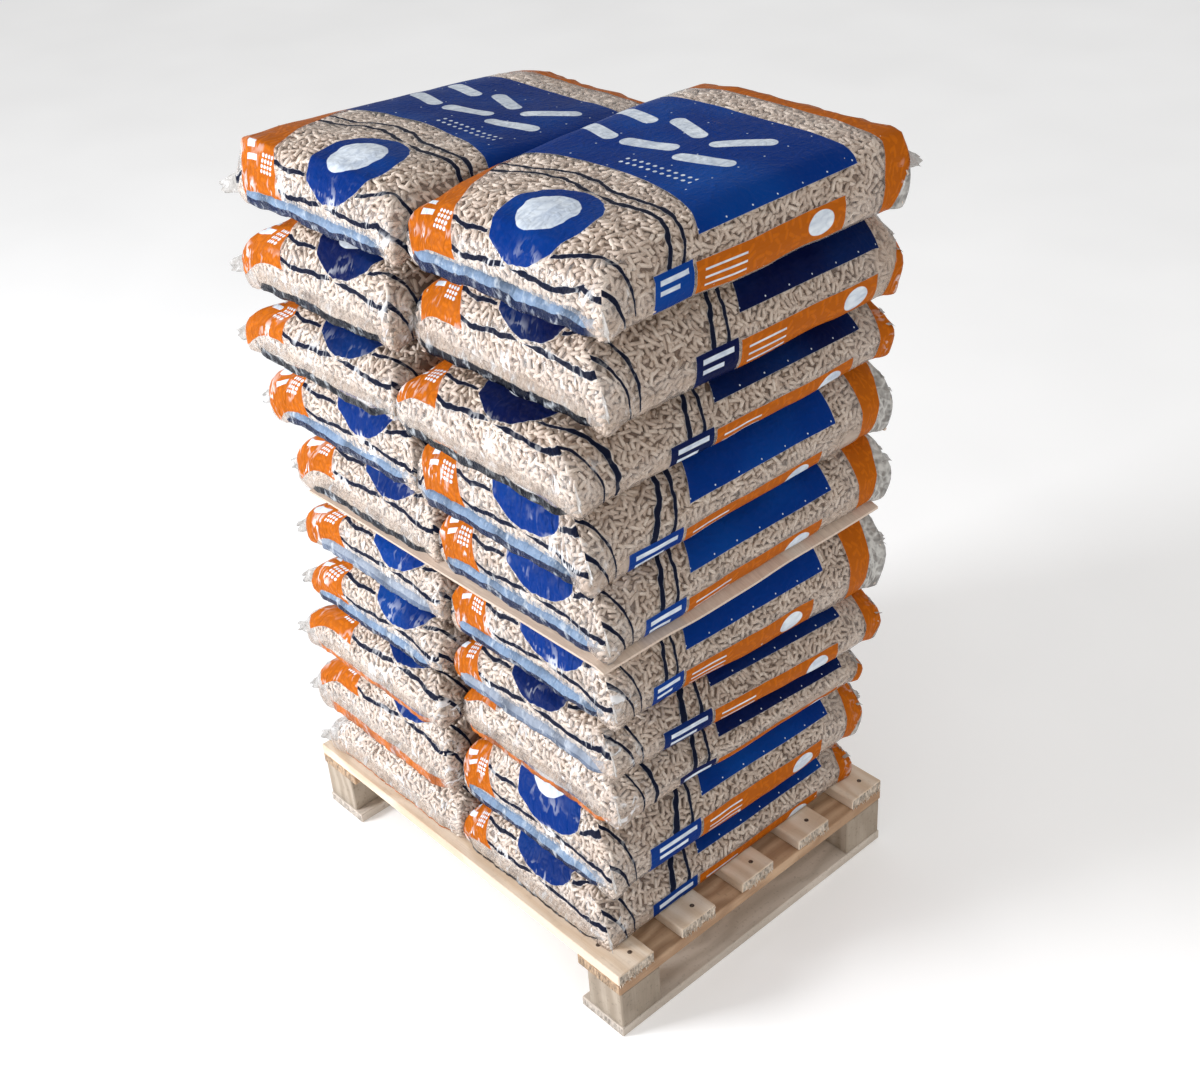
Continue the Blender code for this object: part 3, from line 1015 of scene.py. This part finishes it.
# The strip of film beyond the front seam, bottom sack first: how deep it hangs in millimetres, its
# look, and how far its ear stands out at the sack's outer corner.
FRONT_TAILS = {
    "right": (
        (20, "dark", 12), (22, "blue", 14), (24, "orange", 10), (22, "grey", 10), (20, "blue", 10),
        (24, "blue", 12), (24, "blue", 12), (28, "dark", 12), (28, "dark", 14), (27, "blue", 16),
    ),
    "left": (
        (18, "orange", 30), (30, "ribbon", 26), (24, "orange", 28), (22, "blue", 18), (24, "grey", 28),
        (28, "dark", 20), (24, "blue", 22), (28, "dark", 26), (28, "dark", 34), (24, "blue", 28),
    ),
}
REAR_DEPTH = 0.020
REAR_EARS = {"sack_10_right": 0.014, "sack_05_right": 0.0, "sack_02_right": 0.002, "sack_08_left": 0.008}
TAIL_COLUMNS, TAIL_ROWS, EAR_COLUMNS, EAR_ROWS = 64, 6, 8, 6
EAR_HEIGHT = 0.034

# The looks of the strips: colours above and below, and how well they cover. A rim that is printed
# on clear film also has its height, and how well the film above it covers.
TAIL_LOOKS = {
    # The lower colours of the blue and dark strips are their navy print darkened by painted shade, where they
    # hang in the shade under the sack's rim over the gap to the sack below.
    "blue": (srgb(118, 140, 168), srgb(10, 28, 66), 0.90),
    "grey": (srgb(142, 152, 168), srgb(98, 112, 136), 0.84),
    "dark": (srgb(190, 180, 170), srgb(7, 10, 22), 0.98, 0.015, 0.40),
    "orange": (srgb(190, 180, 170), ORANGE, 0.97, 0.015, 0.40),
    "ribbon": (srgb(206, 198, 190), ORANGE, 0.97, 0.010, 0.55),
    "rear": (srgb(150, 152, 156), srgb(112, 116, 122), 0.72),
}


def ear_points(sack, front, level, ear, phase):
    """The end of a strip: drawn out past the sack's outer corner, flat and a little crumpled."""
    outer, way = (1 if sack.side == "right" else -1), (-1 if front else 1)
    nx, ny, _ = FILM_CELLS
    corner = sack.run(nx if outer > 0 else 0, 0 if front else ny, None)
    at_seam = corner[np.argmin(np.abs(corner[:, 2] - level))]
    heading = np.array([outer * 0.90, way * 0.40, -0.34 if front else -0.05])
    middle, size = (0.55, 1.0) if front else (0.42, 0.8)
    points = []
    for i in range(EAR_COLUMNS + 1):
        out = i / EAR_COLUMNS
        tall = EAR_HEIGHT * (1 - 0.50 * out ** 1.5) * size
        for k in range(EAR_ROWS + 1):
            share = k / EAR_ROWS
            crumple = math.sin(out * 11 + phase[4] + share * 7) * 0.0022 * out
            uneven = math.sin(share * 9 + phase[3]) * 0.0035 * out
            place = at_seam + heading * ((ear + 0.014 + uneven) * out - 0.010)
            points.append(tuple(place + (crumple, -crumple, (share - middle) * tall)))
    return points


def seam_tail(sack, end, depth, ear, material, rng):
    """The strip of film beyond a seam: it hangs over the front end, and stands out at the rear. At
    the sack's outer corner it ends in an ear."""
    front = end == "front"
    way = -1 if front else 1
    outer = 1 if sack.side == "right" else -1
    y_end = sack.y[0] if front else sack.y[1]
    start, stop = (sack.x[0], sack.x[1]) if outer > 0 else (sack.x[1], sack.x[0])
    width = abs(stop - start)
    low, high = sack.bottom(y_end), sack.top(y_end)
    level = low + (SEAM_SHARE + (0.02 if front else 0.26)) * (high - low)
    phase = rng.uniform(0, 6, 5)
    points, down, bare = [], [], []
    for i in range(TAIL_COLUMNS + 1):
        share = i / TAIL_COLUMNS
        x = start + (stop - start) * (0.006 + 0.988 * share)
        edge = min(share, 1 - share) * width
        bow = float(eased(edge / 0.045))
        rim = y_end - way * 0.012 * (1 - bow)
        sag = SAG * float(eased(1 - edge / SAG_REACH)) * (0.4 if front else 0.2)
        if sack.number == 1:
            sag *= 0.3
        slow = math.sin(x * 38 + phase[0]) + 0.7 * math.sin(x * 97 + phase[1])
        quick = math.sin(x * 210 + phase[2]) + 0.8 * math.sin(x * 395 + phase[3])
        for k in range(TAIL_ROWS + 1):
            out = k / TAIL_ROWS
            if front:
                lip = math.sin(min(out * depth / 0.010, 1.0) * math.pi / 2)
                z = level - sag - out * depth * (0.7 + 0.3 * bow)
                z += 0.0022 * slow * (out + 0.3) + 0.0006 * quick
                y = rim + way * (-0.0005 + 0.0085 * lip + (0.0010 * slow + 0.0010 * quick) * out)
            else:
                z = level - sag + (0.003 * slow + 0.0012 * quick) * out - 0.007 * out * out
                y = rim + way * (-0.002 + out * depth * (0.80 + 0.14 * slow))
                z += 0.004 * out * math.sin(x * 140 + phase[4])
            points.append((x, y, z))
            down.append(out * depth)
            bare.append(float(eased(1 - edge / 0.030)) * (0.9 if share > 0.5 else 0.5))
    faces = grid_faces(0, TAIL_COLUMNS, TAIL_ROWS)
    points += ear_points(sack, front, level, ear, phase)
    faces += grid_faces(len(down), EAR_COLUMNS, EAR_ROWS)
    down += [k / EAR_ROWS * 0.02 for k in range(EAR_ROWS + 1)] * (EAR_COLUMNS + 1)
    bare += [1.0] * (len(points) - len(bare))
    name = f"tail_{end}_{sack.number:02d}_{sack.side}"
    piece = mesh_piece(name, points, faces, material)
    loops = np.array(faces).ravel()
    along = np.array(points)[loops, 0] + sack.number
    set_uv(piece, "print", np.stack([np.array(down)[loops], along], axis=1))
    set_value(piece, "bare", np.clip(bare, 0, 1))
    shell = piece.modifiers.new("shell", "SOLIDIFY")
    shell.thickness = 0.0005
    piece.visible_shadow = False


def pellet_bed(sack, look):
    """The pellets below those that are modelled one by one, as a closed form inside the film."""
    place = {tuple(key): k for k, key in enumerate(TRIPLES)}
    chosen = [place[tuple(key * 2)] for key in BED_TRIPLES]
    points = sack.points[chosen] - sack.normals[chosen] * CORE_DEPTH
    quads = np.concatenate(list(BED_QUADS.values()))
    piece = mesh_piece(f"bed_{sack.number:02d}_{sack.side}", points, quads, look)
    axes = {"top": (0, 1), "bottom": (0, 1), "front": (0, 2), "rear": (0, 2), "left": (1, 2), "right": (1, 2)}
    flat = [points[found][:, :, axes[name]] for name, found in BED_QUADS.items()]
    set_uv(piece, "print", np.concatenate(flat).reshape(-1, 2) + sack.number * 0.31)


def build_sacks():
    film, bed = film_material(), core_material()
    rod_look = pellet_material()
    tails = {look: tail_material(f"tail_{look}", *given) for look, given in TAIL_LOOKS.items()}
    for side in ("left", "right"):
        for number in range(1, TOP_LAYER + 1):
            name = f"sack_{number:02d}_{side}"
            sack = Sack(name, number, side)
            rng = np.random.default_rng(number * 2 + (side == "right"))
            points, turn = wrinkled(sack), number / 10 + (0.5 if side == "right" else 0)
            skin = mesh_piece(f"film_{number:02d}_{side}", points, ALL_QUADS, film)
            set_uv(skin, "print", sack.print_at.reshape(-1, 2))
            set_uv(skin, "film", sack.film.reshape(-1, 2))
            set_value(skin, "crushed", crushed_at(sack))
            set_value(skin, "misty", misty_at(sack))
            set_value(skin, "slack", slack_at(sack))
            # How far this sack's blue is darkened, as painted shade.
            set_value(skin, "deep", np.full(len(points), BLUE_SHADE[side][number - 1]))
            set_value(skin, "sack", np.full(len(points), turn))
            pellet_bed(sack, bed)
            # The film is clear, so the pellets under it are lit as if it cast no shadow.
            skin.visible_shadow = False
            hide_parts(name)
            rods(sack, rng, rod_look)
            depth, look, ear = FRONT_TAILS[side][number - 1]
            seam_tail(sack, "front", depth / 1000, ear / 1000, tails[look], rng)
            seam_tail(sack, "rear", REAR_DEPTH, REAR_EARS.get(name, -0.006), tails["rear"], rng)


def board_sheet(look):
    """The sheet between the fifth and sixth layers: its right and front rims are bent down."""
    low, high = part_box("board_sheet")
    thick, cells_x, cells_y = 0.004, 96, 80
    right, front = 0.013, 0.006
    # Its rims are worn back a little from the solid's.
    xs = low.x + (high.x - 0.011 - low.x) * np.arange(cells_x + 1) / cells_x
    ys = low.y + 0.003 + (high.y - low.y - 0.003) * np.arange(cells_y + 1) / cells_y
    x, y = (v.ravel() for v in np.meshgrid(xs, ys, indexing="ij"))
    wave = value_noise(np.stack([x, y, 0 * x], axis=1), 11, 7)
    bend = right * eased((x - high.x + 0.050) / 0.050) * (1 + 0.25 * wave)
    bend = np.maximum(bend, front * eased((low.y + 0.040 - y) / 0.040) * (1 + 0.35 * wave))
    inside = np.minimum(np.minimum(x - low.x, high.x - x), np.minimum(y - low.y, high.y - y))
    top = high.z - 0.0001 - bend + 0.0009 * wave * eased(1 - inside / 0.03)
    upper = np.stack([x, y, top], axis=1)
    lower = upper - (0, 0, thick)
    half = len(x)
    faces = grid_faces(0, cells_x, cells_y)
    faces += [tuple(v + half for v in reversed(face)) for face in faces]
    index = np.arange(half).reshape(cells_x + 1, cells_y + 1)
    rim = [*index[:-1, 0], *index[-1, :-1], *index[:0:-1, -1], *index[0, :0:-1]]
    faces += [(a, a + half, b + half, b) for a, b in zip(rim, rim[1:] + rim[:1])]
    points = np.concatenate([upper, lower])
    piece = mesh_piece("board_sheet_look", points, faces, look, smooth=False)
    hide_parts("board_sheet")


# Nails in a deck board: X, and Y from the board's middle. A head is three rings: radius and height.
NAILS = ((0.374, 0.010), (0.328, -0.014), (-0.374, 0.012), (-0.330, -0.012))
NAIL_RINGS = ((0.0040, 0.0001), (0.0036, 0.0006), (0.0016, 0.0009))
NAIL_SIDES = 12
SPLINTERS = 34


def nail_head(x, y, z, points, faces):
    start, n = len(points), NAIL_SIDES
    for radius, up in NAIL_RINGS:
        for k in range(n):
            turn = k * 2 * math.pi / n
            points.append((x + radius * math.cos(turn), y + radius * math.sin(turn), z + up))
    for first in (start, start + n):
        for k in range(n):
            after = (k + 1) % n
            faces.append((first + k, first + after, first + n + after, first + n + k))
    faces.append(tuple(start + 2 * n + k for k in range(n)))


def splinter(low, high, y, end, rng, points, faces):
    """A torn fibre on a board's end: four points at its root, and its tip."""
    start, wide = len(points), rng.uniform(0.0006, 0.0016)
    level = low.z + 0.001 + rng.uniform(0, 1) ** 3 * 0.016
    x, drop = end * (abs(high.x) - 0.001), rng.uniform(0.002, 0.007)
    tip_x = end * (abs(high.x) + rng.uniform(0.0008, 0.0030))
    points += [(x, y - wide, level), (x, y + wide, level)]
    points += [(x + end * 0.002, y + side * wide, level + 0.0008) for side in (1, -1)]
    points.append((tip_x, y + rng.uniform(-0.002, 0.002), level - drop))
    for face in ((0, 1, 2, 3), (0, 4, 1), (1, 4, 2), (2, 4, 3), (3, 4, 0)):
        faces.append(tuple(start + v for v in face))


def nails(looks):
    """Nail heads where the deck boards cross the stringers, and torn fibres on the boards' ends."""
    rng = np.random.default_rng(5)
    heads, head_faces, torn, torn_faces = [], [], [], []
    for name in sorted(nodes):
        if not name.startswith("deck_board"):
            continue
        low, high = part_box(name)
        for x, y in NAILS:
            nail_head(x, (low.y + high.y) / 2 + y, high.z, heads, head_faces)
        for end in (-1, 1):
            for y in rng.uniform(low.y + 0.002, high.y - 0.002, SPLINTERS):
                splinter(low, high, y, end, rng, torn, torn_faces)
    mesh_piece("nail_heads", heads, head_faces, looks[0])
    mesh_piece("board_splinters", torn, torn_faces, looks[1], smooth=False)


def nail_material():
    tree = Tree("nail_look")
    rust = tree.noise(tree.place(), 420.0, 3.0)
    colour = tree.ramp(rust, (0.35, srgb(52, 46, 42)), (0.65, srgb(112, 92, 78)))
    return tree.set(Base_Color=colour, Metallic=0.5, Roughness=0.55, Normal=tree.bump(rust, 0.5, 0.0005))


# Each kind of wood: its look, the axis of its grain, pale, deep and dirty colours, and its age.
WOODS = {
    "deck_board": ("pale_wood_look", 0, (228, 212, 194), (200, 174, 146), (124, 104, 84), 0.25),
    "stringer": ("brown_wood_look", 1, (206, 174, 142), (142, 106, 76), (96, 76, 58), 0.4),
    "block": ("grey_block_look", 2, (180, 166, 150), (142, 127, 110), (92, 82, 70), 0.7),
    "runner": ("grey_runner_look", 1, (226, 214, 202), (190, 178, 164), (142, 130, 118), 0.6),
}


def dress_pallet():
    looks = {start: wood_material(*given) for start, given in WOODS.items()}
    for name, node in nodes.items():
        for start, look in looks.items():
            if name.startswith(start):
                node.data.materials.clear()
                node.data.materials.append(look)
    board_sheet(board_material())
    nails((nail_material(), looks["deck_board"]))


FLOOR_REACH = 12.0

# The lamps: place, size, power and colour. They point at a spot half way up the stack.
COOL, WARM = (0.95, 0.97, 1.0), (1.0, 0.95, 0.88)
LAMPS = {
    "key": ((-1.8, -3.6, 1.9), 1.3, 212, COOL),
    "fill": ((3.6, -0.8, 2.2), 2.0, 26, WARM),
    "over": ((0.2, 0.7, 4.2), 2.2, 5, WARM),
}
LAMPS_AIM = Vector((0, 0, 0.6))


def floor():
    tree = Tree("floor_look")
    shade = tree.noise(tree.place(), 1.5, 2.0)
    pale = tree.ramp(shade, (0.3, (0.86, 0.86, 0.86)), (0.7, (0.90, 0.90, 0.90)))
    look = tree.set(Base_Color=pale, Emission_Color=pale, Emission_Strength=0.22, Roughness=0.9)
    mesh = bpy.data.meshes.new("floor")
    corners = [(FLOOR_REACH * x, FLOOR_REACH * y, 0) for x, y in ((-1, -1), (1, -1), (1, 1), (-1, 1))]
    mesh.from_pydata(corners, [], [(0, 1, 2, 3)])
    mesh.materials.append(look)
    made = bpy.data.objects.new("floor", mesh)
    made.location.z = -0.0005
    bpy.context.scene.collection.objects.link(made)


def sky():
    """Paler overhead than at the horizon, and white where the camera sees it."""
    world = bpy.data.worlds.new("soft_world")
    bpy.context.scene.world = world
    world.use_nodes = True
    background = world.node_tree.nodes["Background"]
    background.inputs[0].default_value = (0.98, 0.975, 0.97, 1)
    new, link = world.node_tree.nodes.new, world.node_tree.links.new
    height = new("ShaderNodeSeparateXYZ")
    link(new("ShaderNodeTexCoord").outputs["Generated"], height.inputs[0])
    light, glow = new("ShaderNodeMapRange"), new("ShaderNodeMapRange")
    link(height.outputs[2], light.inputs["Value"])
    light.inputs["To Min"].default_value, light.inputs["To Max"].default_value = 0.42, 0.70
    link(new("ShaderNodeLightPath").outputs["Is Camera Ray"], glow.inputs["Value"])
    link(light.outputs[0], glow.inputs["To Min"])
    glow.inputs["To Max"].default_value = 1.0
    link(glow.outputs[0], background.inputs[1])


def lamps():
    for name, (place, size, power, colour) in LAMPS.items():
        lamp = bpy.data.lights.new(name, "AREA")
        lamp.size, lamp.energy, lamp.color = size, power, colour
        made = bpy.data.objects.new(name, lamp)
        made.location = place
        made.rotation_euler = (LAMPS_AIM - Vector(place)).to_track_quat("-Z", "Y").to_euler()
        bpy.context.scene.collection.objects.link(made)


def camera():
    lens = bpy.data.cameras.new("camera")
    made = bpy.data.objects.new("camera", lens)
    bpy.context.scene.collection.objects.link(made)
    made.location = CAMERA_PLACE
    made.rotation_euler = [math.radians(v) for v in CAMERA_TURN]
    lens.sensor_width, lens.lens = 36.0, CAMERA_LENS
    lens.clip_start, lens.clip_end = 0.05, 60.0
    bpy.context.scene.camera = made


bpy.context.scene.view_settings.view_transform = "Standard"
camera()
floor()
sky()
lamps()
dress_pallet()
build_sacks()
bpy.context.view_layer.update()
